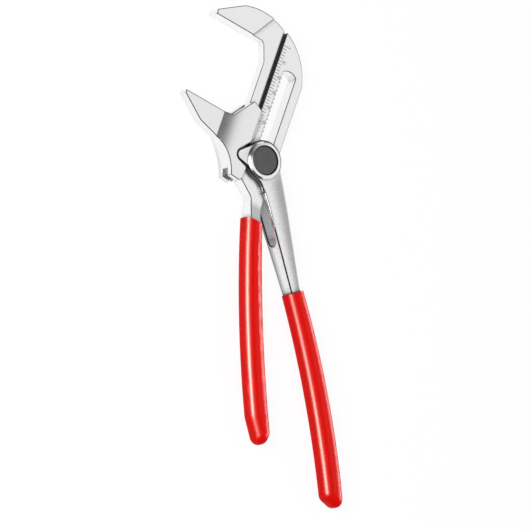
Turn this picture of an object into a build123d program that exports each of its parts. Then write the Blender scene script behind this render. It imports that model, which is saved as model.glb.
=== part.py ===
from build123d import *
import os
from math import cos, radians, sin

# Adjustable pliers: parallel jaws, a push-button joint on a toothed slot, and dipped grips.
# Lengths are millimetres, angles degrees. The tool lies on its back on z = 0.
# The joint bolt's axis is x = y = 0. The jaws open along Y and their tips point to -X.
os.makedirs("parts", exist_ok=True)

# Head, across its thickness
head_thickness = 13.4
plate_thickness = 8.0
rail_thickness = 5.4
groove_web = 2.6
blade_thickness = 6.2
side_play = 0.1
overrun = 3.0

# Shank of the fixed jaw, measured sideways from the bolt axis
rail_edge = 19.6
groove_wall = 11.4
groove_width = 1.9
slot_rack_side = 5.85
slot_plain_side = 4.0
shank_back = 9.9

# Jaws
lower_face = 16.5
opening = 51.9
jaw_reach = 60.8
jaw_height = 16.3
blade_reach = 63.0
cheek_bottom = 18.8
cheek_rise = 13.9
cheek_root = 9.0
cheek_edge = 9.2

# Toothed slot
tooth_pitch = 2.75
pitches = 18
tooth_depth = 1.6
rack_height = 2.2
rack_level = 0.2
tooth_play = 0.08

# Joint bolt, push button and ring
eye_radius = 12.3
ring_land = 0.9
ring_width = 2.3
ring_height = 1.6
journal_land = 2.7
button_thickness = 0.9
button_travel = 2.0
button_play = 0.1
block_radius = 5.95
tail_radius = 3.85
pin_radius = 3.0
fit_play = 0.05
nut_radius = 6.4
nut_thickness = 0.95

# Lever nose, and how far the lever turns each way
nose_arm = 15.6
nose_angle = 192.6
nose_radius = 3.5
pocket_play = 0.55
squeeze = 7.0
spread = 6.0

# Handles. The length is the drop of the left handle's line, from the neck's end to its own end
handle_length = 122.1
left_core_width = 7.0
left_core_thickness = 10.0
right_core_width = 7.0
right_core_thickness = 7.2
lever_rim_width = 8.4
lever_rim_thickness = 9.4
grip_width = 13.0
grip_thickness = 13.2
grip_rounding = 5.2

# Places and travels worked out from the sizes above
half_head = head_thickness / 2
half_plate = plate_thickness / 2
half_fork = half_plate + side_play
mid = Plane.XY.offset(half_head)
upper_face = lower_face + opening
adjust_travel = tooth_pitch * pitches
nose_centre = (nose_arm * cos(radians(nose_angle)), nose_arm * sin(radians(nose_angle)))
feed_up = -nose_centre[0] * radians(squeeze)
feed_down = -nose_centre[0] * radians(spread)
ring_radius = eye_radius - ring_land
ring_rim_radius = ring_radius - ring_width
button_radius = ring_rim_radius - 3 * button_play
journal_radius = eye_radius - journal_land


def around(centre, radius, angle):
    """The point at this radius and angle around a centre."""
    return (centre[0] + radius * cos(radians(angle)), centre[1] + radius * sin(radians(angle)))


def beside(line, share, offset):
    """A point beside a handle's line, this far towards +X."""
    spot = line @ share
    run = line % share
    return (spot.X - run.Y * offset, spot.Y + run.X * offset)


def tooth(root_width, tip_width, depth):
    """A tooth on a wall at x = 0 that points to +X, its root sunk into the wall."""
    half_root = root_width / 2
    half_tip = tip_width / 2
    sunk = -depth / 2
    return [(sunk, half_root), (sunk, -half_root), (0, -half_root), (depth, -half_tip),
            (depth, half_tip), (0, half_root)]


def handle_line(start, shares):
    """The middle line of a handle on the middle plane, by its start and shares of the handle's length."""
    points = [(start[0] + handle_length * x, start[1] - handle_length * y) for x, y in shares]
    return ThreePointArc(start, *points)


def core_outline(line, width):
    """The steel core of a handle, which stops short of the line's end."""
    core_share = 0.95
    core_line = ThreePointArc(line @ 0, line @ (core_share / 2), line @ core_share)
    with BuildSketch() as outline:
        SlotArc(core_line, width)
    return outline.sketch


def grip_outline(line, outer, outer_rim_share, inner_rim_share, tip_side_share, tip_reach_share):
    """A dipped grip seen from the front. Outer is +1 where its outer side faces +X, or else -1.
    The rim shares place the two ends of its rim along the line, and the tip shares its tip past the end."""
    rim_share, outer_end_share, inner_end_share = 0.92, 0.9, 0.985
    outer_corner_share, inner_corner_share, tip_corner_share = 1.6, 0.45, 0.34
    half = outer * grip_width / 2
    rim = half * rim_share
    outer_rim = beside(line, outer_rim_share, rim)
    inner_rim = beside(line, inner_rim_share, -rim)
    end = line @ 1
    run = line % 1
    reach = grip_width * tip_reach_share
    side = outer * grip_width * tip_side_share
    tip = (end.X + run.X * reach - run.Y * side, end.Y + run.Y * reach + run.X * side)
    outer_end = beside(line, outer_end_share, half)
    inner_end = beside(line, inner_end_share, -half)
    with BuildSketch() as outline:
        with BuildLine():
            ThreePointArc(outer_rim, beside(line, outer_end_share / 2, half), outer_end)
            Polyline(outer_end, tip, inner_end)
            ThreePointArc(inner_end, beside(line, inner_end_share / 2, -half), inner_rim)
            Line(inner_rim, outer_rim)
        make_face()
        for point, share in ((outer_end, outer_corner_share), (inner_end, inner_corner_share),
                             (tip, tip_corner_share)):
            corner = outline.vertices().sort_by_distance(point)[0]
            fillet(corner, grip_width * share)
    return outline.sketch


neck_end = (7.6, -32.0)
lever_end = (50.9, -62.2)
left_line_shares = [(0.1781, 0.4668), (0.4341, 1.0)]
right_line_shares = [(0.2962, 0.3915), (0.5749, 0.8509)]
left_line = handle_line(neck_end, left_line_shares)
right_line = handle_line(lever_end, right_line_shares)
left_grip_shares = (0.013, 0.044, 0.15, 0.82)
right_grip_shares = (0, 0, 0.48, 0.74)

# Fixed jaw and left handle, one forging: jaw, guide rail, toothed slot, neck and handle core
back_shares = [(-1.0, 0.19), (-0.73, 0.85), (-0.48, 1.0), (-0.19, 0.74)]
heel_shares = (0.15, 0.15)
heel_end_share = 0.9
throat_shares = (0.235, 0.7)
throat_radius = 3.0
foot_y = 9.0
neck_corner = (1.2, -23.4)
neck_radius = 5.0
neck_back = 25.8
flare_share = 0.35
flare_start = -27.0
flare_end = -34.5
left_end = left_line @ 1
fine_line_foot = 32.8
fine_line_slope = 0.624
slot_foot_y = 6.3
slot_head_y = 7.7
slot_crown = 1.9
tooth_root_share = 0.8
tooth_tip_share = 0.24

back_points = [(jaw_reach * x, upper_face + jaw_height * y) for x, y in back_shares]
heel_bow = (shank_back * heel_shares[0], upper_face + jaw_height * heel_shares[1])
heel_end = (shank_back, upper_face - jaw_height * heel_end_share)
throat_top = (-rail_edge - rail_edge * throat_shares[0], upper_face)
throat_side = (-rail_edge, upper_face - jaw_height * throat_shares[1])
slot_top = adjust_travel + slot_head_y
slot_crown_x = (slot_plain_side - slot_rack_side) / 2
fine_line_x = -fine_line_foot - overrun * fine_line_slope
back_y = upper_face + jaw_height + overrun
rack_teeth = pitches + 4

neck_left = beside(left_line, 0, -left_core_width / 2)
neck_right = beside(left_line, 0, left_core_width / 2)
flare_left = Line(neck_corner, neck_left) @ flare_share

with BuildPart() as jaw_handle:
    with BuildSketch(mid):
        Polygon((flare_left.X, flare_left.Y), neck_left, neck_right, (shank_back, -neck_back), align=None)
        add(core_outline(left_line, left_core_width))
    extrude(amount=left_core_thickness / 2, both=True)
    with BuildSketch(Plane.YZ):
        flare_top = half_head + left_core_thickness / 2
        flare_bottom = half_head - left_core_thickness / 2
        Polygon((flare_start, half_head + half_plate), (flare_end, flare_top), (2 * left_end.Y, flare_top),
                (2 * left_end.Y, flare_bottom), (flare_end, flare_bottom),
                (flare_start, half_head - half_plate), (0, half_head - half_plate),
                (0, half_head + half_plate), align=None)
    extrude(amount=2 * left_end.X, both=True, mode=Mode.INTERSECT)
    with BuildSketch(mid) as plate:
        with BuildLine():
            Polyline((-jaw_reach, upper_face), throat_top, throat_side, (-rail_edge, -foot_y),
                     neck_corner, neck_left, neck_right, (shank_back, -neck_back), heel_end)
            ThreePointArc(heel_end, heel_bow, back_points[3])
            ThreePointArc(back_points[3], back_points[2], back_points[1])
            Polyline(back_points[1], back_points[0], (-jaw_reach, upper_face))
        make_face()
        for point, radius in ((throat_top, throat_radius), (throat_side, throat_radius),
                              (neck_corner, neck_radius)):
            fillet(plate.vertices().sort_by_distance(point)[0], radius)
    extrude(amount=half_plate, both=True)
    with BuildSketch(mid):
        with BuildLine():
            ThreePointArc((-slot_rack_side, slot_top), (slot_crown_x, slot_top + slot_crown),
                          (slot_plain_side, slot_top))
            Polyline((slot_plain_side, slot_top), (slot_plain_side, -slot_foot_y),
                     (-slot_rack_side, -slot_foot_y), (-slot_rack_side, slot_top))
        make_face()
    extrude(amount=half_plate, both=True, mode=Mode.SUBTRACT)
    for side in (1, -1):
        with BuildSketch(mid.offset(side * rail_thickness / 2)):
            Polygon((fine_line_x, upper_face - overrun), (-jaw_reach, -cheek_bottom - overrun),
                    (-groove_wall, -cheek_bottom - overrun), (-groove_wall, back_y),
                    (fine_line_x + (back_y - upper_face + overrun) * fine_line_slope, back_y),
                    align=None)
        extrude(amount=side * half_plate, mode=Mode.SUBTRACT)
        with BuildSketch(mid.offset(side * groove_web / 2)):
            with Locations((-groove_wall - groove_width / 2, 0)):
                Rectangle(groove_width, 2 * back_y)
        extrude(amount=side * half_plate, mode=Mode.SUBTRACT)
    with BuildSketch(mid.offset(rack_level)):
        with Locations(*[(-slot_rack_side, (k - 1.5) * tooth_pitch) for k in range(rack_teeth)]):
            Polygon(*tooth(tooth_pitch * tooth_root_share, tooth_pitch * tooth_tip_share, tooth_depth),
                    align=None)
    extrude(amount=rack_height)

jaw_handle.part.label = "jaw_handle"
export_step(jaw_handle.part, "parts/jaw_handle.step")

# Grips, dipped over the handle cores
with BuildPart() as left_grip:
    with BuildSketch(mid):
        add(grip_outline(left_line, -1, *left_grip_shares))
    extrude(amount=grip_thickness / 2, both=True)
    rim = left_grip.faces().sort_by_distance(left_line @ 0)[0]
    long_edges = left_grip.faces().filter_by(Axis.Z).edges() - rim.edges()
    fillet(long_edges, grip_rounding)
    with BuildSketch(mid):
        add(core_outline(left_line, left_core_width))
    extrude(amount=left_core_thickness / 2, both=True, mode=Mode.SUBTRACT)

left_grip.part.label = "left_grip"
export_step(left_grip.part, "parts/left_grip.step")

# Sliding jaw: blade, two cheeks that straddle the shank, guide lips, and the pocket for the lever's nose
# Shares of the blade's reach and of the drop from its face to the cheeks' foot
tip_share = (1.0, 0.055)
belly_share = (0.755, 0.355)
knee_share = (0.57, 0.445)
spine_share = (0.402, 0.64)
foot_share = (0.287, 0.985)
lobe_edge = 10.1
lobe_corner = 2.0
apex_back = 0.8
shoulder_drop = 4.8
crease_x = 34.0
ramp_length = 15.0
bevel_width = 3.4
bevel_depth = 2.5
bevel_foot = 4.6
channel_foot = 4.0
pocket_angles = (142, 256)
pocket_mouth_angles = (154, 219)
belly_radius = 9.0
apex_radius = 1.2

drop = lower_face + cheek_bottom


def under(share):
    """A point on the sliding jaw's outline from its shares of reach and drop."""
    return (-blade_reach * share[0], lower_face - drop * share[1])


apex = (-rail_edge + apex_back, lower_face + cheek_rise)
shoulder = (-cheek_edge, apex[1] - shoulder_drop)
cheek_start = (-rail_edge - cheek_root, lower_face)
lobe_foot = (-lobe_edge - lobe_corner, -cheek_bottom)
pocket_radius = nose_radius + pocket_play
eye_clear = eye_radius + pocket_play
mouth_radius = eye_radius + nose_radius / 2
ramp_radius = (ramp_length ** 2 / (half_head - blade_thickness / 2) + half_head - blade_thickness / 2) / 2
lip_left = -groove_wall - groove_width + side_play
lip_right = -groove_wall - side_play
web_right = -rail_edge - side_play

with BuildPart() as sliding_jaw:
    with BuildSketch(mid) as cheek:
        with BuildLine():
            Polyline(under(foot_share), lobe_foot, (-lobe_edge, -cheek_bottom + lobe_corner),
                     (-lobe_edge, 0), (-cheek_edge, 0), shoulder, apex, cheek_start,
                     (-blade_reach, lower_face), under(tip_share), under(belly_share), under(knee_share))
            ThreePointArc(under(knee_share), under(spine_share), under(foot_share))
        make_face()
        fillet(cheek.vertices().sort_by_distance(under(belly_share))[0], belly_radius)
        fillet(cheek.vertices().sort_by_distance(apex)[0], apex_radius)
        with Locations((0, (feed_down - feed_up) / 2)):
            SlotCenterToCenter(feed_up + feed_down, 2 * eye_clear, rotation=90, mode=Mode.SUBTRACT)
        with Locations(nose_centre):
            Circle(pocket_radius, mode=Mode.SUBTRACT)
        Polygon((0, 0), around((0, 0), mouth_radius, pocket_mouth_angles[0]),
                around(nose_centre, pocket_radius, pocket_angles[0]),
                around(nose_centre, pocket_radius, pocket_angles[1]),
                around((0, 0), mouth_radius, pocket_mouth_angles[1]), align=None, mode=Mode.SUBTRACT)
    extrude(amount=half_head, both=True)
    for side in (1, -1):
        face_z = half_head + side * half_head
        blade_z = half_head + side * blade_thickness / 2
        outside_z = face_z + side * overrun
        with BuildSketch(Plane.XZ):
            with BuildLine():
                ramp = RadiusArc((-crease_x, blade_z), (ramp_length - crease_x, face_z),
                                 side * ramp_radius)
                Polyline(ramp @ 1, (ramp_length - crease_x, outside_z),
                         (-blade_reach - overrun, outside_z), (-blade_reach - overrun, blade_z), ramp @ 0)
            make_face()
        extrude(amount=lower_face + cheek_rise + cheek_bottom, both=True, mode=Mode.SUBTRACT)
        bevel_top = -cheek_edge - bevel_width
        bevel_z = face_z - side * bevel_depth
        with BuildSketch(Plane.XZ.offset(-bevel_foot)):
            Polygon((bevel_top, face_z), (-cheek_edge, bevel_z), (0, bevel_z), (0, outside_z),
                    (bevel_top, outside_z), align=None)
        extrude(amount=-lower_face - cheek_rise, mode=Mode.SUBTRACT)
    rail_half = rail_thickness / 2 + side_play
    web_half = groove_web / 2 + side_play
    steps = [(web_right, rail_half), (lip_left, rail_half), (lip_left, web_half), (lip_right, web_half),
             (lip_right, half_fork), (overrun, half_fork)]
    with BuildSketch(Plane.XZ):
        Polygon(*[(x, half_head + z) for x, z in steps],
                *[(x, half_head - z) for x, z in reversed(steps)], align=None)
    extrude(amount=drop + cheek_rise, both=True, mode=Mode.SUBTRACT)
    with BuildSketch(mid):
        Polygon((cheek_start[0], apex[1] + overrun), (cheek_start[0], lower_face), (web_right, channel_foot),
                (lip_left, channel_foot), (lip_left, apex[1] + overrun), align=None)
    extrude(amount=rail_half, both=True, mode=Mode.SUBTRACT)

sliding_jaw.part.label = "sliding_jaw"
export_step(sliding_jaw.part, "parts/sliding_jaw.step")

# Lever and right handle, one forging: a fork that straddles the shank, its nose, and the handle core
lever_axis = 36.3
right_side_angle = 57.5
flank_angle = 280.0
flank_radius = 8.0
nose_flank_angles = (135, 262)
nose_root_angles = (153, 221)
crotch = 51.0
crotch_depth = 5.0
taper_start = 30.0
taper_end = 81.0
flank_run = 8.0
lever_rounding = 4.0
draft_width = 0.5
lever_bevel = 0.5

lever_run = (sin(radians(lever_axis)), -cos(radians(lever_axis)))
side_plane = Plane(origin=(0, 0, half_head), x_dir=(*lever_run, 0),
                   z_dir=(lever_run[1], -lever_run[0], 0))
rim_left = beside(right_line, 0, -lever_rim_width / 2)
rim_right = beside(right_line, 0, lever_rim_width / 2)
eye_right = around((0, 0), eye_radius, 90 - right_side_angle)
flank_foot = around((0, 0), eye_radius, flank_angle)
left_edge = Line(flank_foot, rim_left)
flank_end = left_edge @ (flank_run / left_edge.length)
left_run = left_edge % 0
draft_plane = Plane(origin=(flank_foot[0], flank_foot[1], half_head),
                    x_dir=(-left_run.Y, left_run.X, 0), z_dir=left_run)

with BuildPart() as lever_handle:
    with BuildSketch(mid):
        Polygon(flank_foot, rim_left, rim_right, eye_right, align=None)
    extrude(amount=half_head, both=True)
    with BuildSketch(side_plane):
        half_rim = lever_rim_thickness / 2
        Polygon((-eye_radius, -half_head), (taper_start, -half_head), (taper_end, -half_rim),
                (taper_end, half_rim), (taper_start, half_head), (-eye_radius, half_head), align=None)
    extrude(amount=2 * eye_radius, both=True, mode=Mode.INTERSECT)
    right_middle = Line(eye_right, rim_right) @ 0.5 + Vector(0, 0, half_head)
    right_side = lever_handle.faces().sort_by_distance(right_middle)[0]
    fillet(right_side.edges() - right_side.edges().filter_by(Axis.Z), lever_rounding)
    with BuildSketch(draft_plane):
        bevel_foot = draft_width * (1 - lever_bevel / half_head)
        Polygon((0, 0), (bevel_foot, lever_bevel - half_head), (bevel_foot + lever_bevel, -half_head),
                (3 * eye_radius, -half_head), (3 * eye_radius, half_head),
                (bevel_foot + lever_bevel, half_head), (bevel_foot, half_head - lever_bevel), align=None)
    extrude(amount=handle_length, both=True, mode=Mode.INTERSECT)
    with BuildSketch(mid) as eye:
        Circle(eye_radius)
        Polygon((0, 0), flank_foot, (flank_end.X, flank_end.Y), align=None)
        fillet(eye.vertices().sort_by_distance(flank_foot)[0], flank_radius)
        with Locations(nose_centre):
            Circle(nose_radius)
        Polygon((0, 0), around((0, 0), eye_radius, nose_root_angles[0]),
                around(nose_centre, nose_radius, nose_flank_angles[0]),
                around(nose_centre, nose_radius, nose_flank_angles[1]),
                around((0, 0), eye_radius, nose_root_angles[1]), align=None)
    extrude(amount=half_head, both=True)
    with BuildSketch(mid):
        add(core_outline(right_line, right_core_width))
    extrude(amount=right_core_thickness / 2, both=True)
    with BuildSketch(side_plane):
        with BuildLine():
            ThreePointArc((crotch - crotch_depth, half_fork), (crotch, 0),
                          (crotch - crotch_depth, -half_fork))
            Polyline((crotch - crotch_depth, -half_fork), (-2 * eye_radius, -half_fork),
                     (-2 * eye_radius, half_fork), (crotch - crotch_depth, half_fork))
        make_face()
    extrude(amount=2 * eye_radius, both=True, mode=Mode.SUBTRACT)
    with BuildSketch(mid):
        Circle(journal_radius + fit_play)
    extrude(amount=head_thickness, mode=Mode.SUBTRACT)
    with BuildSketch(mid):
        Circle(tail_radius + fit_play)
    extrude(amount=-head_thickness, mode=Mode.SUBTRACT)
    with BuildSketch(Plane.XY):
        Circle(nut_radius + fit_play)
    extrude(amount=nut_thickness + fit_play, mode=Mode.SUBTRACT)

lever_handle.part.label = "lever_handle"
export_step(lever_handle.part, "parts/lever_handle.step")

with BuildPart() as right_grip:
    with BuildSketch(mid):
        add(grip_outline(right_line, 1, *right_grip_shares))
    extrude(amount=grip_thickness / 2, both=True)
    rim = right_grip.faces().sort_by_distance(right_line @ 0)[0]
    fillet(right_grip.faces().filter_by(Axis.Z).edges() - rim.edges(), grip_rounding)
    with BuildSketch(mid):
        add(core_outline(right_line, right_core_width))
    extrude(amount=right_core_thickness / 2, both=True, mode=Mode.SUBTRACT)

right_grip.part.label = "right_grip"
export_step(right_grip.part, "parts/right_grip.step")

# Joint bolt: a cup for the button, a flatted block in the slot, a tail with the nut, and the pin's bore
cup_radius = button_radius + button_play
cup_floor = 0.65
bore_end = 1.4
window_play = 0.15
pin_foot = 1.0
key_level = 0.5
key_height = 1.6
key_half_width = 4.1

face_level = half_head + fit_play
cup_level = half_plate + fit_play
block_face = slot_rack_side - tooth_depth - 2 * fit_play
block_back = slot_plain_side - 2 * fit_play

with BuildPart() as joint_bolt:
    with BuildSketch(mid):
        Circle(block_radius)
        with Locations(((block_back - block_face) / 2, 0)):
            Rectangle(block_face + block_back, 2 * block_radius, mode=Mode.INTERSECT)
    extrude(amount=cup_level, both=True)
    with BuildSketch(mid.offset(cup_level)):
        Circle(journal_radius)
    extrude(amount=face_level - cup_level)
    with BuildSketch(mid.offset(-cup_level)):
        Circle(tail_radius)
    extrude(amount=cup_level - half_head)
    with BuildSketch(mid.offset(cup_level + cup_floor)):
        Circle(cup_radius)
    extrude(amount=head_thickness, mode=Mode.SUBTRACT)
    with BuildSketch(Plane.XY.offset(bore_end)):
        Circle(pin_radius + fit_play)
    extrude(amount=head_thickness, mode=Mode.SUBTRACT)
    with BuildSketch(mid.offset(key_level - button_travel - window_play)):
        with Locations((-block_face, 0)):
            Rectangle(2 * block_face, 2 * (key_half_width + window_play))
    extrude(amount=button_travel + key_height + 2 * window_play, mode=Mode.SUBTRACT)

joint_bolt.part.label = "joint_bolt"
export_step(joint_bolt.part, "parts/joint_bolt.step")

# Lock pin: a stem in the bolt's bore, and a key whose three teeth sit in the rack
stem_rise = 0.1
key_foot = block_face
tooth_root = tooth_pitch * (1 - tooth_tip_share) - 2 * tooth_play
tooth_tip = tooth_pitch * (1 - tooth_root_share) - 2 * tooth_play
pin_top = half_head + stem_rise

with BuildPart() as lock_pin:
    with BuildSketch(mid.offset(-pin_foot)):
        Circle(pin_radius)
    extrude(amount=pin_foot + pin_top)
    with BuildSketch(mid.offset(key_level)):
        with Locations((-key_foot / 2, 0)):
            Rectangle(key_foot, 2 * key_half_width)
        with Locations(*[(-key_foot, step * tooth_pitch) for step in (-1, 0, 1)]):
            Polygon(*[(-x, y) for x, y in tooth(tooth_root, tooth_tip, tooth_depth - tooth_play)],
                    align=None)
    extrude(amount=key_height)

lock_pin.part.label = "lock_pin"
export_step(lock_pin.part, "parts/lock_pin.step")

# Button: a thin cap on the pin, with its rim broken
button_edge = 0.25

with BuildPart() as button_cap:
    with BuildSketch(mid.offset(pin_top)):
        Circle(button_radius)
    extrude(amount=button_thickness)
    chamfer(button_cap.edges().group_by(Axis.Z)[-1], button_edge)

button_cap.part.label = "button_cap"
export_step(button_cap.part, "parts/button_cap.step")

# Ring round the button: a low boss with a steep flank and a turned crown, seated on the bolt's cup
ring_upright = 0.3
ring_lip = 0.35
flank_shares = (0.4, 0.72)

with BuildPart() as boss_ring:
    with BuildSketch(Plane.XZ):
        base_z = half_head + face_level
        Polygon((ring_radius, base_z), (ring_radius, base_z + ring_upright),
                (ring_radius - ring_width * flank_shares[0], base_z + ring_height * flank_shares[1]),
                (ring_rim_radius, base_z + ring_height), (cup_radius, base_z + ring_height - ring_lip),
                (cup_radius, base_z), align=None)
    revolve(axis=Axis.Z)

boss_ring.part.label = "boss_ring"
export_step(boss_ring.part, "parts/boss_ring.step")

# Return spring under the pin, wound from square wire
spring_radius = 2.2
spring_wire = 0.5
spring_turns = 3
spring_gap = 0.02
spring_foot = bore_end + spring_wire / 2 + spring_gap
spring_rise = half_head - pin_foot - spring_wire / 2 - spring_gap - spring_foot

with BuildPart() as return_spring:
    with BuildLine(Plane.XY.offset(spring_foot)) as coil:
        Helix(spring_rise / spring_turns, spring_rise, spring_radius)
    with BuildSketch(Plane(origin=coil.line @ 0, x_dir=(1, 0, 0), z_dir=coil.line % 0)):
        Rectangle(spring_wire, spring_wire)
    sweep(path=coil.line, is_frenet=True)

return_spring.part.label = "return_spring"
export_step(return_spring.part, "parts/return_spring.step")

# Rear nut, flush in the lever's back, with two spanner holes
nut_sink = 0.05
nut_bore_play = 0.02
spanner_hole_radius = 0.7
spanner_hole_pitch = 10.2
spanner_hole_depth = 0.6

with BuildPart() as rear_nut:
    with BuildSketch(Plane.XY.offset(nut_sink)):
        Circle(nut_radius)
        Circle(tail_radius + nut_bore_play, mode=Mode.SUBTRACT)
    extrude(amount=nut_thickness - nut_sink)
    with BuildSketch(Plane.XY.offset(nut_sink)):
        with PolarLocations(spanner_hole_pitch / 2, 2):
            Circle(spanner_hole_radius)
    extrude(amount=spanner_hole_depth, mode=Mode.SUBTRACT)

rear_nut.part.label = "rear_nut"
export_step(rear_nut.part, "parts/rear_nut.step")
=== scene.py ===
import math

import bmesh
import bpy
from mathutils import Matrix, Vector


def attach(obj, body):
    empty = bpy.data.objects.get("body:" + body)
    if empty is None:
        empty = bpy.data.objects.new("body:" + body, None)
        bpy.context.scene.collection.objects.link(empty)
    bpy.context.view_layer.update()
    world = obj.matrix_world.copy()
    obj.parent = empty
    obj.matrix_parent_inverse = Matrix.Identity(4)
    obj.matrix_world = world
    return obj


# Adjustable pliers on a white table. Everything is in metres, in the CAD frame.
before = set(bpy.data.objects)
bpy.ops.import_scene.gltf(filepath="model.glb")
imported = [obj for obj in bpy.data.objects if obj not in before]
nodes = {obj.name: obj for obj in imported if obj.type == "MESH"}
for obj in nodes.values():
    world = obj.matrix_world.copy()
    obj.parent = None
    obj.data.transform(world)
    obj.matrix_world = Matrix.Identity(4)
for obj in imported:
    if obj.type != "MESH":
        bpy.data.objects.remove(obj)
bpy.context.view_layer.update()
print("frame loaded:", len(nodes), "nodes")

mm = 0.001
scene = bpy.context.scene
scene.view_settings.view_transform = "Standard"


# Camera: a long lens looking down on the tool from its lower left
cameraSetup = {
    "right": (0.7707, 0.3008, 0.5616),
    "up": (-0.4411, 0.8880, 0.1297),
    "focusLevel": 6.7,              # height of the tool's middle plane
    "focusRight": 4.24,             # what the frame's centre looks at, from the bolt's axis
    "focusUp": -60.88,
    "frameWidth": 314.1,            # how much the frame takes in, at the focus
    "lens": 800.0,
    "sensor": 36.0,
    "farthest": 50.0,               # in metres
}


def makeCamera(setup):
    right = Vector(setup["right"]).normalized()
    up = Vector(setup["up"])
    up = (up - right * up.dot(right)).normalized()
    back = right.cross(up)
    focus = Vector((0, 0, setup["focusLevel"])) + right * setup["focusRight"] + up * setup["focusUp"]
    distance = setup["frameWidth"] * setup["lens"] / setup["sensor"]
    data = bpy.data.cameras.new("productCamera")
    data.lens = setup["lens"]
    data.sensor_width = setup["sensor"]
    data.clip_end = setup["farthest"]
    camera = bpy.data.objects.new("productCamera", data)
    scene.collection.objects.link(camera)
    turn = Matrix((right, up, back)).transposed().to_4x4()
    camera.matrix_world = Matrix.Translation((focus + back * distance) * mm) @ turn
    scene.camera = camera


makeCamera(cameraSetup)
print("camera set")


# Node helpers
def addNode(tree, kind, **values):
    node = tree.nodes.new(kind)
    for name, value in values.items():
        setattr(node, name, value)
    return node


def setInputs(node, **values):
    for name, value in values.items():
        node.inputs[name.replace("_", " ")].default_value = value
    return node


def newGroup(name, inputs, outputs):
    tree = bpy.data.node_groups.new(name, "ShaderNodeTree")
    for label, kind, value in inputs:
        socket = tree.interface.new_socket(name=label, in_out="INPUT", socket_type=kind)
        if value is not None:
            socket.default_value = value
    for label, kind in outputs:
        tree.interface.new_socket(name=label, in_out="OUTPUT", socket_type=kind)
    return tree, tree.nodes.new("NodeGroupInput"), tree.nodes.new("NodeGroupOutput")


def linkNodes(tree, *pairs):
    for source, target in pairs:
        tree.links.new(source, target)


def mathNode(tree, operation, first, second=None):
    node = addNode(tree, "ShaderNodeMath", operation=operation)
    for index, value in enumerate((first, second)):
        if isinstance(value, (int, float)):
            node.inputs[index].default_value = value
        elif value is not None:
            tree.links.new(value, node.inputs[index])
    return node.outputs[0]


# World: an even bright room with three dark patches for the chrome to mirror. Angles are in degrees.
worldSetup = {
    "room": 0.88,
    "dark": {"level": 0.16, "azimuth": 200.0, "halfWidth": 80.0, "elevation": 5.0, "halfHeight": 10.0,
             "softWidth": 20.0, "softHeight": 14.0},
    "shade": {"level": 0.09, "azimuth": 133.0, "halfWidth": 15.0, "elevation": 44.0, "halfHeight": 25.0,
              "softWidth": 65.0, "softHeight": 15.0},
    "near": {"level": 0.08, "azimuth": 284.0, "halfWidth": 24.0, "elevation": 26.0, "halfHeight": 12.0,
             "softWidth": 14.0, "softHeight": 12.0},
}


# One soft-edged rectangle on the sky, as a mask
def patchGroup():
    tree, entry, result = newGroup("skyPatch", [
        ("Vector", "NodeSocketVector", None), ("Azimuth", "NodeSocketFloat", 0.0),
        ("Half Width", "NodeSocketFloat", 30.0), ("Elevation", "NodeSocketFloat", 0.0),
        ("Half Height", "NodeSocketFloat", 10.0), ("Soft Width", "NodeSocketFloat", 10.0),
        ("Soft Height", "NodeSocketFloat", 10.0)], [("Mask", "NodeSocketFloat")])
    parts = addNode(tree, "ShaderNodeSeparateXYZ")
    linkNodes(tree, (entry.outputs["Vector"], parts.inputs[0]))
    turn = mathNode(tree, "DEGREES", mathNode(tree, "ARCTAN2", parts.outputs["Y"], parts.outputs["X"]))
    rise = mathNode(tree, "DEGREES", mathNode(tree, "ARCSINE", parts.outputs["Z"]))
    wrap = addNode(tree, "ShaderNodeMath", operation="WRAP")
    halfTurn = 180.0
    wrap.inputs[1].default_value = halfTurn
    wrap.inputs[2].default_value = -halfTurn
    linkNodes(tree, (mathNode(tree, "SUBTRACT", turn, entry.outputs["Azimuth"]), wrap.inputs[0]))
    aside = mathNode(tree, "ABSOLUTE", wrap.outputs[0])
    above = mathNode(tree, "ABSOLUTE", mathNode(tree, "SUBTRACT", rise, entry.outputs["Elevation"]))
    masks = []
    for distance, half, soft in ((aside, "Half Width", "Soft Width"), (above, "Half Height", "Soft Height")):
        fade = addNode(tree, "ShaderNodeMapRange", interpolation_type="SMOOTHSTEP")
        setInputs(fade, To_Min=1.0, To_Max=0.0)
        outer = mathNode(tree, "ADD", entry.outputs[half], entry.outputs[soft])
        linkNodes(tree, (distance, fade.inputs["Value"]), (entry.outputs[half], fade.inputs["From Min"]),
                  (outer, fade.inputs["From Max"]))
        masks.append(fade.outputs["Result"])
    linkNodes(tree, (mathNode(tree, "MULTIPLY", *masks), result.inputs["Mask"]))
    return tree


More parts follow.
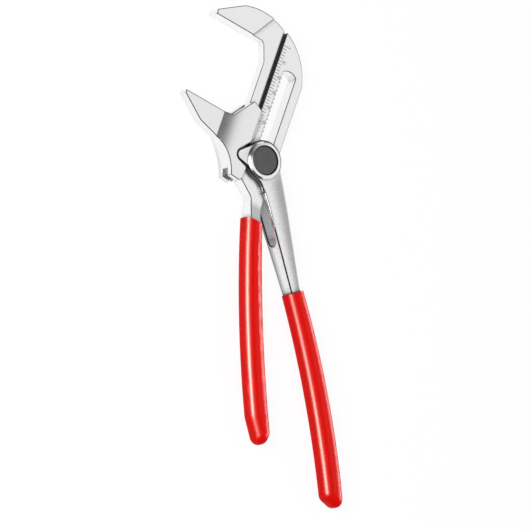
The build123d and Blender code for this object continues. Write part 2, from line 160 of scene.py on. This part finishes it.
def makeWorld(setup):
    world = bpy.data.worlds.new("studio")
    world.use_nodes = True
    tree = world.node_tree
    tree.nodes.clear()
    place = addNode(tree, "ShaderNodeTexCoord")
    patch = patchGroup()
    level = setup["room"]
    for side in ("near", "shade", "dark"):
        values = setup[side]
        mask = addNode(tree, "ShaderNodeGroup", node_tree=patch)
        setInputs(mask, Azimuth=values["azimuth"], Half_Width=values["halfWidth"], Elevation=values["elevation"],
                  Half_Height=values["halfHeight"], Soft_Width=values["softWidth"],
                  Soft_Height=values["softHeight"])
        blend = addNode(tree, "ShaderNodeMix", data_type="FLOAT")
        blend.inputs[3].default_value = values["level"]
        if isinstance(level, float):
            blend.inputs[2].default_value = level
        else:
            tree.links.new(level, blend.inputs[2])
        linkNodes(tree, (place.outputs["Generated"], mask.inputs["Vector"]), (mask.outputs["Mask"], blend.inputs[0]))
        level = blend.outputs[0]
    seen = addNode(tree, "ShaderNodeLightPath")
    plain = addNode(tree, "ShaderNodeMix", data_type="FLOAT")      # the camera itself sees plain white
    plain.inputs[3].default_value = 1.0
    shade = addNode(tree, "ShaderNodeBackground")
    output = addNode(tree, "ShaderNodeOutputWorld")
    linkNodes(tree, (level, plain.inputs[2]), (seen.outputs["Is Camera Ray"], plain.inputs[0]),
              (plain.outputs[0], shade.inputs["Color"]), (shade.outputs[0], output.inputs[0]))
    scene.world = world


makeWorld(worldSetup)


# Floor: white, keeping a faint shadow
floorSetup = {
    "halfSize": 3.0,
    "glow": 0.89,                   # what the camera and reflections see without any light
    "paint": 0.12,                  # what answers to the light, and so carries the shadow
    "bounce": 0.75,                 # how much light the table throws back on the tool
}


def makeFloor(setup):
    half = setup["halfSize"]
    mesh = bpy.data.meshes.new("floor")
    mesh.from_pydata([(-half, -half, 0), (half, -half, 0), (half, half, 0), (-half, half, 0)], [], [(0, 1, 2, 3)])
    floor = bpy.data.objects.new("floor", mesh)
    scene.collection.objects.link(floor)
    material = bpy.data.materials.new("whiteTable")
    material.use_nodes = True
    tree = material.node_tree
    tree.nodes.clear()
    path = addNode(tree, "ShaderNodeLightPath")
    seen = mathNode(tree, "MAXIMUM", mathNode(tree, "MAXIMUM", path.outputs["Is Camera Ray"],
                                              path.outputs["Is Glossy Ray"]), path.outputs["Is Transmission Ray"])
    glow = addNode(tree, "ShaderNodeEmission")
    paint = addNode(tree, "ShaderNodeBsdfDiffuse")
    level = addNode(tree, "ShaderNodeMix", data_type="FLOAT")
    level.inputs[2].default_value = setup["paint"]
    level.inputs[3].default_value = setup["bounce"]
    linkNodes(tree, (path.outputs["Is Diffuse Ray"], level.inputs[0]), (level.outputs[0], paint.inputs["Color"]))
    both = addNode(tree, "ShaderNodeAddShader")
    output = addNode(tree, "ShaderNodeOutputMaterial")
    linkNodes(tree, (mathNode(tree, "MULTIPLY", seen, setup["glow"]), glow.inputs["Strength"]),
              (glow.outputs[0], both.inputs[0]), (paint.outputs[0], both.inputs[1]),
              (both.outputs[0], output.inputs["Surface"]))
    mesh.materials.append(material)


makeFloor(floorSetup)


# Softboxes. The key lights everything. The others only give highlights, on the pieces that they name.
grips = ("left_grip", "right_grip")
lightAim = Vector((0.02, -0.03, 0.0))
lightSetup = {
    "key": {"azimuth": 205.0, "elevation": 43.0, "distance": 1.1, "width": 0.26, "height": 0.62, "power": 7.0},
    "strip": {"azimuth": 203.0, "elevation": 22.0, "distance": 1.1, "width": 0.60, "height": 0.40, "power": 420.0,
              "mirrors": grips},
    "crescent": {"azimuth": 206.0, "elevation": 35.0, "distance": 1.1, "width": 1.1, "height": 0.3, "power": 2.4,
                 "mirrors": ("boss_ring",)},
    "glow": {"azimuth": 196.0, "elevation": 15.0, "distance": 1.1, "width": 1.0, "height": 0.5, "power": 95.0,
             "mirrors": grips},
    "side": {"azimuth": 24.0, "elevation": 19.0, "distance": 1.3, "width": 0.9, "height": 0.8, "power": 80.0,
             "mirrors": grips},
}


def makeLights(setup, aim):
    for name, values in setup.items():
        data = bpy.data.lights.new(name, "AREA")
        data.shape = "RECTANGLE"
        data.size = values["width"]
        data.size_y = values["height"]
        data.energy = values["power"]
        lamp = bpy.data.objects.new(name, data)
        scene.collection.objects.link(lamp)
        if "mirrors" in values:
            lamp.visible_diffuse = False
            mirrors = bpy.data.collections.new(name + "Mirrors")
            for node in values["mirrors"]:
                mirrors.objects.link(nodes[node])
            lamp.light_linking.receiver_collection = mirrors
        turn, rise = math.radians(values["azimuth"]), math.radians(values["elevation"])
        away = Vector((math.cos(rise) * math.cos(turn), math.cos(rise) * math.sin(turn), math.sin(rise)))
        lamp.matrix_world = (Matrix.Translation(aim + away * values["distance"])
                             @ away.to_track_quat("Z", "Y").to_matrix().to_4x4())


makeLights(lightSetup, lightAim)
print("world, floor and lights made")


# Surface effects, each built once as a group. Lengths are in metres.
grainSetup = {
    "edgeSamples": 6,
    "fine": {"Detail": 3.0, "Roughness": 0.6},
    "slow": {"Scale": 130.0, "Detail": 1.0},
    "fineDistance": 0.00003,
    "slowDistance": 0.0003,
}


# Rounded edges with a fine cast or brushed grain on top, as a normal
def grainGroup(setup):
    tree, entry, result = newGroup("softEdgedGrain", [
        ("Edge Radius", "NodeSocketFloat", 0.0004), ("Grain Scale", "NodeSocketFloat", 1500.0),
        ("Grain Height", "NodeSocketFloat", 0.3), ("Wave Height", "NodeSocketFloat", 0.2)],
        [("Normal", "NodeSocketVector")])
    place = addNode(tree, "ShaderNodeTexCoord")
    edge = addNode(tree, "ShaderNodeBevel", samples=setup["edgeSamples"])
    fine = addNode(tree, "ShaderNodeTexNoise")
    setInputs(fine, **setup["fine"])
    slow = addNode(tree, "ShaderNodeTexNoise")
    setInputs(slow, **setup["slow"])
    wave = addNode(tree, "ShaderNodeBump")
    setInputs(wave, Distance=setup["slowDistance"])
    bump = addNode(tree, "ShaderNodeBump")
    setInputs(bump, Distance=setup["fineDistance"])
    linkNodes(tree, (entry.outputs["Edge Radius"], edge.inputs["Radius"]),
              (place.outputs["Object"], fine.inputs["Vector"]), (place.outputs["Object"], slow.inputs["Vector"]),
              (entry.outputs["Grain Scale"], fine.inputs["Scale"]),
              (slow.outputs[0], wave.inputs["Height"]), (entry.outputs["Wave Height"], wave.inputs["Strength"]),
              (edge.outputs[0], wave.inputs["Normal"]), (wave.outputs[0], bump.inputs["Normal"]),
              (fine.outputs[0], bump.inputs["Height"]), (entry.outputs["Grain Height"], bump.inputs["Strength"]),
              (bump.outputs[0], result.inputs["Normal"]))
    return tree


mottleSetup = {
    "spots": {"Detail": 4.0, "Roughness": 0.65},
    "smears": {"Scale": 90.0, "Detail": 3.0},
    "middle": 0.5,                  # the noise's mean
}


# A colour and a roughness that vary a little over the surface
def mottleGroup(setup):
    tree, entry, result = newGroup("mottle", [
        ("Color", "NodeSocketColor", (0.8, 0.8, 0.8, 1)), ("Scale", "NodeSocketFloat", 1200.0),
        ("Spread", "NodeSocketFloat", 0.1), ("Roughness", "NodeSocketFloat", 0.3),
        ("Roughness Spread", "NodeSocketFloat", 0.1)],
        [("Color", "NodeSocketColor"), ("Roughness", "NodeSocketFloat")])
    place = addNode(tree, "ShaderNodeTexCoord")
    noise = addNode(tree, "ShaderNodeTexNoise")
    setInputs(noise, **setup["spots"])
    smear = addNode(tree, "ShaderNodeTexNoise")
    setInputs(smear, **setup["smears"])
    swings = []
    for source, spread in ((noise, "Spread"), (smear, "Roughness Spread")):
        swing = mathNode(tree, "SUBTRACT", source.outputs[0], setup["middle"])
        swings.append(mathNode(tree, "MULTIPLY", swing, entry.outputs[spread]))
    factor = mathNode(tree, "ADD", swings[0], 1.0)
    rough = mathNode(tree, "ADD", entry.outputs["Roughness"], swings[1])
    scaled = addNode(tree, "ShaderNodeVectorMath", operation="SCALE")
    linkNodes(tree, (place.outputs["Object"], noise.inputs["Vector"]),
              (place.outputs["Object"], smear.inputs["Vector"]), (entry.outputs["Scale"], noise.inputs["Scale"]),
              (entry.outputs["Color"], scaled.inputs[0]), (factor, scaled.inputs["Scale"]),
              (scaled.outputs[0], result.inputs["Color"]), (rough, result.inputs["Roughness"]))
    return tree


# Settings for the painted shade lines along edges
paintedShadeSetup = {
    "samples": 8,
    "edge": (0.998, 0.95),          # rounded normal against own normal: where a line starts, and where it is full
    "downward": (-0.3, 0.3),        # edges that face down stay faint
    "downwardLeft": 0.2,
    "bright": (0.05, 0.5),          # from where edges on the bright side can be fainter
    "levelFade": 0.0006,
}


# Painted shade: darkens a colour in dark lines along sharp edges, and in crevices, hollows and side walls where
# shade falls
def outlineGroup(setup):
    tree, entry, result = newGroup("paintedEdgeAndCreviceShade", [
        ("Color", "NodeSocketColor", (0.8, 0.8, 0.8, 1)), ("Edge Radius", "NodeSocketFloat", 0.0004),
        ("Edge Depth", "NodeSocketFloat", 0.5), ("Crevice Reach", "NodeSocketFloat", 0.004),
        ("Crevice Depth", "NodeSocketFloat", 0.5), ("Crevice Power", "NodeSocketFloat", 1.0),
        ("Wall Power", "NodeSocketFloat", 0.0), ("Edge Level", "NodeSocketFloat", 0.0),
        ("Bright Side", "NodeSocketFloat", 0.45)],
        [("Color", "NodeSocketColor")])
    # painted shade lines along sharp edges
    edge = addNode(tree, "ShaderNodeBevel", samples=setup["samples"])
    own = addNode(tree, "ShaderNodeNewGeometry")
    across = addNode(tree, "ShaderNodeVectorMath", operation="DOT_PRODUCT")
    line = addNode(tree, "ShaderNodeMapRange", interpolation_type="SMOOTHSTEP")
    setInputs(line, From_Min=setup["edge"][0], From_Max=setup["edge"][1], To_Min=0.0, To_Max=1.0)
    # painted shade in crevices and hollows
    hollow = addNode(tree, "ShaderNodeAmbientOcclusion", samples=setup["samples"])
    upward = addNode(tree, "ShaderNodeSeparateXYZ")
    facing = addNode(tree, "ShaderNodeMapRange")
    setInputs(facing, From_Min=setup["downward"][0], From_Max=setup["downward"][1],
              To_Min=setup["downwardLeft"], To_Max=1.0)
    lit = addNode(tree, "ShaderNodeMapRange")
    setInputs(lit, From_Min=setup["bright"][0], From_Max=setup["bright"][1], To_Min=1.0)
    tree.links.new(entry.outputs["Bright Side"], lit.inputs["To Max"])
    linkNodes(tree, (edge.outputs[0], upward.inputs[0]), (upward.outputs["Z"], facing.inputs["Value"]),
              (upward.outputs["X"], lit.inputs["Value"]))
    # the painted shade is deeper on side walls
    upright = addNode(tree, "ShaderNodeSeparateXYZ")
    wall = mathNode(tree, "SUBTRACT", 1.0, mathNode(tree, "ABSOLUTE", upright.outputs["Z"]))
    power = mathNode(tree, "ADD", entry.outputs["Crevice Power"],
                     mathNode(tree, "MULTIPLY", wall, entry.outputs["Wall Power"]))
    openness = mathNode(tree, "POWER", hollow.outputs["AO"], power)
    place = addNode(tree, "ShaderNodeTexCoord")
    height = addNode(tree, "ShaderNodeSeparateXYZ")
    near = addNode(tree, "ShaderNodeMapRange", interpolation_type="SMOOTHSTEP")
    linkNodes(tree, (own.outputs["Normal"], upright.inputs[0]), (place.outputs["Object"], height.inputs[0]),
              (height.outputs["Z"], near.inputs["Value"]), (entry.outputs["Edge Level"], near.inputs["From Min"]),
              (mathNode(tree, "ADD", entry.outputs["Edge Level"], setup["levelFade"]), near.inputs["From Max"]))
    depth = mathNode(tree, "MULTIPLY", mathNode(tree, "SUBTRACT", 1.0, openness), entry.outputs["Crevice Depth"])
    drawn = entry.outputs["Edge Depth"]
    for share in (line, facing, lit, near):
        drawn = mathNode(tree, "MULTIPLY", drawn, share.outputs["Result"])
    kept = mathNode(tree, "MULTIPLY", mathNode(tree, "SUBTRACT", 1.0, depth), mathNode(tree, "SUBTRACT", 1.0, drawn))
    scaled = addNode(tree, "ShaderNodeVectorMath", operation="SCALE")
    linkNodes(tree, (entry.outputs["Edge Radius"], edge.inputs["Radius"]), (edge.outputs[0], across.inputs[0]),
              (own.outputs["Normal"], across.inputs[1]), (across.outputs["Value"], line.inputs["Value"]),
              (entry.outputs["Crevice Reach"], hollow.inputs["Distance"]),
              (entry.outputs["Color"], scaled.inputs[0]), (kept, scaled.inputs["Scale"]),
              (scaled.outputs[0], result.inputs["Color"]))
    return tree


# Painted shade: a darker band along the lever's outer side
paintedBandSetup = {
    "inner": ((2.1, -12.1), (47.7, -64.9)),     # the lever's inner edge, from the eye to the grip
    "outer": ((10.4, 6.6), (54.1, -59.5)),
    "rise": (0.18, 0.74),                       # where across the lever the band grows and fades
    "fall": (0.80, 0.99),
    "left": 0.35,                               # what is left of it at the outer edge
    "eye": (13.5, 22.0),                        # it fades out towards the eye
}


# How far a point lies across the lever, as the strength of the painted shade band
def bandGroup(setup):
    tree, entry, result = newGroup("paintedSideShade", [
        ("Color", "NodeSocketColor", (0.8, 0.8, 0.8, 1)), ("Depth", "NodeSocketFloat", 0.5)],
        [("Color", "NodeSocketColor")])
    place = addNode(tree, "ShaderNodeTexCoord")
    reaches = []
    for side, sign in (("inner", -1), ("outer", 1)):
        start, end = (Vector(point) for point in setup[side])
        run = (end - start).normalized()
        away = Vector((-run.y, run.x, 0)) * sign
        reach = addNode(tree, "ShaderNodeVectorMath", operation="DOT_PRODUCT")
        reach.inputs[1].default_value = away
        linkNodes(tree, (place.outputs["Object"], reach.inputs[0]))
        edge = away.x * start.x + away.y * start.y
        reaches.append(mathNode(tree, "SUBTRACT", edge * mm, reach.outputs["Value"]))
    across = mathNode(tree, "DIVIDE", reaches[0], mathNode(tree, "ADD", *reaches))
    distance = addNode(tree, "ShaderNodeVectorMath", operation="LENGTH")
    linkNodes(tree, (place.outputs["Object"], distance.inputs[0]))
    amount = entry.outputs["Depth"]
    for value, (low, high), (start, end) in (
            (across, setup["rise"], (0, 1)), (across, setup["fall"], (1, setup["left"])),
            (distance.outputs["Value"], [v * mm for v in setup["eye"]], (0, 1))):
        step = addNode(tree, "ShaderNodeMapRange", interpolation_type="SMOOTHSTEP")
        setInputs(step, From_Min=low, From_Max=high, To_Min=start, To_Max=end)
        tree.links.new(value, step.inputs["Value"])
        amount = mathNode(tree, "MULTIPLY", amount, step.outputs["Result"])
    scaled = addNode(tree, "ShaderNodeVectorMath", operation="SCALE")
    linkNodes(tree, (entry.outputs["Color"], scaled.inputs[0]),
              (mathNode(tree, "SUBTRACT", 1.0, amount), scaled.inputs["Scale"]),
              (scaled.outputs[0], result.inputs["Color"]))
    return tree


grain = grainGroup(grainSetup)
mottle = mottleGroup(mottleSetup)
paintedShade = outlineGroup(paintedShadeSetup)
paintedBand = bandGroup(paintedBandSetup)


# Lengths among a material's values are in millimetres
def makeMaterial(name, values):
    material = bpy.data.materials.new(name)
    material.use_nodes = True
    tree = material.node_tree
    tree.nodes.clear()
    shade = addNode(tree, "ShaderNodeBsdfPrincipled")
    output = addNode(tree, "ShaderNodeOutputMaterial")
    tint = addNode(tree, "ShaderNodeGroup", node_tree=mottle)
    surface = addNode(tree, "ShaderNodeGroup", node_tree=grain)
    setInputs(tint, Color=values["color"] + (1,), Scale=values["mottleScale"], Spread=values["mottleSpread"],
              Roughness=values["roughness"], Roughness_Spread=values["roughnessSpread"])
    setInputs(surface, Edge_Radius=values["edge"] * mm, Grain_Scale=values["grainScale"],
              Grain_Height=values["grainHeight"], Wave_Height=values["waveHeight"])
    setInputs(shade, Metallic=values["metallic"])
    for socket in ("Specular IOR Level", "Specular Tint"):
        if socket in values:
            shade.inputs[socket].default_value = values[socket]
    # painted shade along edges and in crevices
    drawn = addNode(tree, "ShaderNodeGroup", node_tree=paintedShade)
    setInputs(drawn, Edge_Radius=values["line"] * mm, Edge_Depth=values["lineDepth"],
              Crevice_Reach=values["reach"] * mm, Crevice_Depth=values["hollowDepth"],
              Crevice_Power=values["hollowPower"], Wall_Power=values.get("wallPower", 0.0),
              Edge_Level=values.get("lineLevel", -1.0) * mm, Bright_Side=values.get("brightSide", 0.45))
    color = drawn.outputs["Color"]
    # Painted shade: the neck's upward faces darken towards the grip, standing in for the shade where the real neck
    # dips
    if "foot" in values:            # darker where the neck dips towards the grip
        place = addNode(tree, "ShaderNodeTexCoord")
        along = addNode(tree, "ShaderNodeSeparateXYZ")
        fade = addNode(tree, "ShaderNodeMapRange", interpolation_type="SMOOTHSTEP")
        setInputs(fade, From_Min=values["foot"][0] * mm, From_Max=values["foot"][1] * mm,
                  To_Max=values["footDepth"])
        own = addNode(tree, "ShaderNodeNewGeometry")
        level = addNode(tree, "ShaderNodeSeparateXYZ")
        dimmed = addNode(tree, "ShaderNodeVectorMath", operation="SCALE")
        linkNodes(tree, (place.outputs["Object"], along.inputs[0]), (along.outputs["Y"], fade.inputs["Value"]),
                  (own.outputs["Normal"], level.inputs[0]), (color, dimmed.inputs[0]))
        amount = mathNode(tree, "MULTIPLY", fade.outputs["Result"],
                          mathNode(tree, "ABSOLUTE", level.outputs["Z"]))
        tree.links.new(mathNode(tree, "SUBTRACT", 1.0, amount), dimmed.inputs["Scale"])
        color = dimmed.outputs[0]
    # painted shade band along the lever's outer side
    if "shadeBandDepth" in values:
        bandShaded = addNode(tree, "ShaderNodeGroup", node_tree=paintedBand)
        setInputs(bandShaded, Depth=values["shadeBandDepth"])
        tree.links.new(color, bandShaded.inputs["Color"])
        color = bandShaded.outputs["Color"]
    linkNodes(tree, (tint.outputs["Color"], drawn.inputs["Color"]), (color, shade.inputs["Base Color"]),
              (tint.outputs["Roughness"], shade.inputs["Roughness"]),
              (surface.outputs["Normal"], shade.inputs["Normal"]), (shade.outputs[0], output.inputs["Surface"]))
    return material


# Chromed heads: satin, with a fine grain, painted shade lines along edges, painted shade in crevices and painted
# shade on the neck towards the grip
satinChrome = makeMaterial("satinChrome", {
    "color": (0.92, 0.92, 0.925), "metallic": 1.0, "roughness": 0.25, "roughnessSpread": 0.08,
    "mottleScale": 900.0, "mottleSpread": 0.2, "edge": 0.45,
    "grainScale": 1500.0, "grainHeight": 0.35, "waveHeight": 0.10,
    "line": 1.1, "lineDepth": 0.97, "reach": 3.5, "hollowDepth": 0.93, "hollowPower": 1.4, "lineLevel": 8.9,
    "foot": (-24.0, -29.0), "footDepth": 0.38})

# The sliding jaw: the same, with lighter painted shade in the hollows
jawChrome = makeMaterial("jawChrome", {
    "color": (0.90, 0.90, 0.905), "metallic": 1.0, "roughness": 0.27, "roughnessSpread": 0.08,
    "mottleScale": 900.0, "mottleSpread": 0.25, "edge": 0.45,
    "grainScale": 1500.0, "grainHeight": 0.4, "waveHeight": 0.10,
    "line": 1.1, "lineDepth": 0.97, "reach": 5.0, "hollowDepth": 0.5, "hollowPower": 1.0, "lineLevel": 8.6})

# The lever: the same finish over a coarser forging, with painted shade on its side walls and a painted shade band
# along its outer side
leverChrome = makeMaterial("leverChrome", {
    "color": (0.91, 0.91, 0.915), "metallic": 1.0, "roughness": 0.32, "roughnessSpread": 0.10,
    "mottleScale": 1200.0, "mottleSpread": 0.9, "edge": 0.45,
    "grainScale": 1100.0, "grainHeight": 0.6, "waveHeight": 0.2,
    "line": 1.8, "lineDepth": 1.0, "brightSide": 0.25, "reach": 7.5, "hollowDepth": 0.93, "hollowPower": 1.9,
    "wallPower": 1.0, "shadeBandDepth": 0.5})

# Ring round the button: turned and polished, with painted shade in its hollow, darkest on its walls
ringPolish = makeMaterial("ringPolish", {
    "color": (0.93, 0.93, 0.94), "metallic": 1.0, "roughness": 0.07, "roughnessSpread": 0.03,
    "mottleScale": 900.0, "mottleSpread": 0.02, "edge": 0.15,
    "grainScale": 2500.0, "grainHeight": 0.03, "waveHeight": 0.02,
    "line": 0.2, "lineDepth": 0.3, "reach": 2.6, "hollowDepth": 0.97, "hollowPower": 1.6, "wallPower": 12.0})

# Bolt, pin and nut: machined steel, with painted shade in crevices
machinedSteel = makeMaterial("machinedSteel", {
    "color": (0.62, 0.62, 0.63), "metallic": 1.0, "roughness": 0.24, "roughnessSpread": 0.08,
    "mottleScale": 1500.0, "mottleSpread": 0.08, "edge": 0.2,
    "grainScale": 2600.0, "grainHeight": 0.2, "waveHeight": 0.05,
    "line": 0.3, "lineDepth": 0.3, "reach": 3.0, "hollowDepth": 0.7, "hollowPower": 1.0})

# Return spring: drawn wire, with painted shade in crevices
springWire = makeMaterial("springWire", {
    "color": (0.45, 0.45, 0.46), "metallic": 1.0, "roughness": 0.3, "roughnessSpread": 0.1,
    "mottleScale": 1800.0, "mottleSpread": 0.1, "edge": 0.1,
    "grainScale": 3000.0, "grainHeight": 0.15, "waveHeight": 0.0,
    "line": 0.1, "lineDepth": 0.2, "reach": 2.0, "hollowDepth": 0.6, "hollowPower": 1.0})

# Button: matt black, slightly grained, with painted shade lines at its edges and a painted shadow round its rim
blackCap = makeMaterial("blackCap", {
    "color": (0.08, 0.08, 0.082), "metallic": 0.0, "roughness": 0.5, "roughnessSpread": 0.12,
    "mottleScale": 450.0, "mottleSpread": 0.8, "edge": 0.15,
    "grainScale": 1500.0, "grainHeight": 0.5, "waveHeight": 0.1, "Specular IOR Level": 0.35,
    "line": 0.7, "lineDepth": 0.95, "brightSide": 1.0, "reach": 1.3, "hollowDepth": 1.0, "hollowPower": 4.0})

# Grips: dipped plastic with a soft gloss and faint painted shade in crevices
redDip = makeMaterial("redDip", {
    "color": (0.69, 0.0015, 0.0002), "metallic": 0.0, "roughness": 0.34, "roughnessSpread": 0.0,
    "mottleScale": 300.0, "mottleSpread": 0.03, "edge": 0.0,
    "grainScale": 500.0, "grainHeight": 0.01, "waveHeight": 0.01,
    "Specular IOR Level": 0.042, "Specular Tint": (1.0, 0.80, 0.69, 1.0),
    "line": 0.3, "lineDepth": 0.0, "reach": 1.5, "hollowDepth": 0.08, "hollowPower": 1.0})

finishes = {
    "jaw_handle": satinChrome, "sliding_jaw": jawChrome, "lever_handle": leverChrome,
    "boss_ring": ringPolish, "joint_bolt": machinedSteel, "lock_pin": machinedSteel, "rear_nut": machinedSteel,
    "return_spring": springWire, "button_cap": blackCap, "left_grip": redDip, "right_grip": redDip,
}
for name, material in finishes.items():
    slots = nodes[name].material_slots
    for index in range(len(slots)):
        slots[index].material = material
print("materials set")


# Ruler on the shank's front face, for the jaws' opening
rulerSetup = {
    "level": 10.7,                  # the shank's front face
    "depth": 0.02,
    "zero": 72.4,                   # where the scale starts
    "steps": (0, 57, 2),            # millimetres from the start
    "start": -11.0,
    "end": -8.2,
    "longEnd": -7.9,
    "zeroEnd": -6.0,
    "width": 0.55,
    "numerals": (10, 20, 30, 40, 50),
    "longStep": 10,                 # a longer tick at each of these
    "merge": 0.001,
    "digitCentre": -6.95,
    "digitSize": 2.35,
    "digitSpacing": 1.05,
    "digitWeight": 0.1,
}

# Engraved marks: dark filler
engraving = makeMaterial("engraving", {
    "color": (0.36, 0.36, 0.365), "metallic": 0.0, "roughness": 0.6, "roughnessSpread": 0.1,
    "mottleScale": 1500.0, "mottleSpread": 0.4, "edge": 0.05,
    "grainScale": 2000.0, "grainHeight": 0.2, "waveHeight": 0.0,
    "line": 0.05, "lineDepth": 0.0, "reach": 1.0, "hollowDepth": 0.0, "hollowPower": 1.0})


def addBar(shape, low, high):
    corners = [shape.verts.new((x, y, z)) for z in (low[2], high[2])
               for x, y in ((low[0], low[1]), (high[0], low[1]), (high[0], high[1]), (low[0], high[1]))]
    for loop in ((3, 2, 1, 0), (4, 5, 6, 7), (0, 1, 5, 4), (1, 2, 6, 5), (2, 3, 7, 6), (3, 0, 4, 7)):
        shape.faces.new([corners[index] for index in loop])


def makePiece(name, shape, material, body):
    mesh = bpy.data.meshes.new(name)
    shape.to_mesh(mesh)
    shape.free()
    mesh.materials.append(material)
    piece = bpy.data.objects.new(name, mesh)
    scene.collection.objects.link(piece)
    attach(piece, body)


def makeRuler(setup):
    shape = bmesh.new()
    low, high = setup["level"], setup["level"] + setup["depth"]
    half = setup["width"] / 2
    for step in range(*setup["steps"]):
        along = setup["zero"] - step
        if step == 0:
            end = setup["zeroEnd"]
        else:
            end = setup["longEnd"] if step % setup["longStep"] == 0 else setup["end"]
        addBar(shape, [v * mm for v in (setup["start"], along - half, low)],
               [v * mm for v in (end, along + half, high)])
    makePiece("rulerTicks", shape, engraving, "fixed_jaw")
    for number in setup["numerals"]:
        curve = bpy.data.curves.new("numeral", "FONT")
        curve.body = str(number)
        curve.align_x = "CENTER"
        curve.align_y = "CENTER"
        curve.size = setup["digitSize"] * mm
        curve.space_character = setup["digitSpacing"]
        curve.extrude = setup["depth"] * mm / 2
        curve.offset = setup["digitWeight"] * mm
        word = bpy.data.objects.new("numeral", curve)
        shape = bmesh.new()
        scene.collection.objects.link(word)
        mesh = bpy.data.meshes.new_from_object(word.evaluated_get(bpy.context.evaluated_depsgraph_get()))
        shape.from_mesh(mesh)
        bpy.data.objects.remove(word)
        bpy.data.meshes.remove(mesh)
        place = Vector((setup["digitCentre"], setup["zero"] - number, (low + high) / 2)) * mm
        bmesh.ops.remove_doubles(shape, verts=shape.verts, dist=setup["merge"] * mm)
        bmesh.ops.transform(shape, verts=shape.verts,
                            matrix=Matrix.Translation(place) @ Matrix.Rotation(math.radians(90), 4, "Z"))
        makePiece("rulerNumeral" + str(number), shape, engraving, "fixed_jaw")


makeRuler(rulerSetup)


# Reading mark across the sliding jaw's bevel
markSetup = {
    "top": (-12.6, 13.4),           # the bevel's upper edge: across and level
    "foot": (-9.2, 10.9),
    "along": 21.2,
    "width": 0.4,
    "depth": 0.02,
    "inset": 0.35,
}


def makeMark(setup):
    top, foot = (Vector((across, 0, level)) for across, level in (setup["top"], setup["foot"]))
    down = (foot - top).normalized()
    out = Vector((-down.z, 0, down.x))
    turn = Matrix((down, Vector((0, 1, 0)), out)).transposed().to_4x4()
    shape = bmesh.new()
    half = setup["width"] / 2
    addBar(shape, [v * mm for v in (setup["inset"], -half, -setup["depth"])],
           [v * mm for v in ((foot - top).length - setup["inset"], half, setup["depth"])])
    bmesh.ops.transform(shape, verts=shape.verts,
                        matrix=Matrix.Translation((top + Vector((0, setup["along"], 0))) * mm) @ turn)
    makePiece("readingMark", shape, engraving, "moving_jaw")


makeMark(markSetup)
print("ruler and reading mark made")
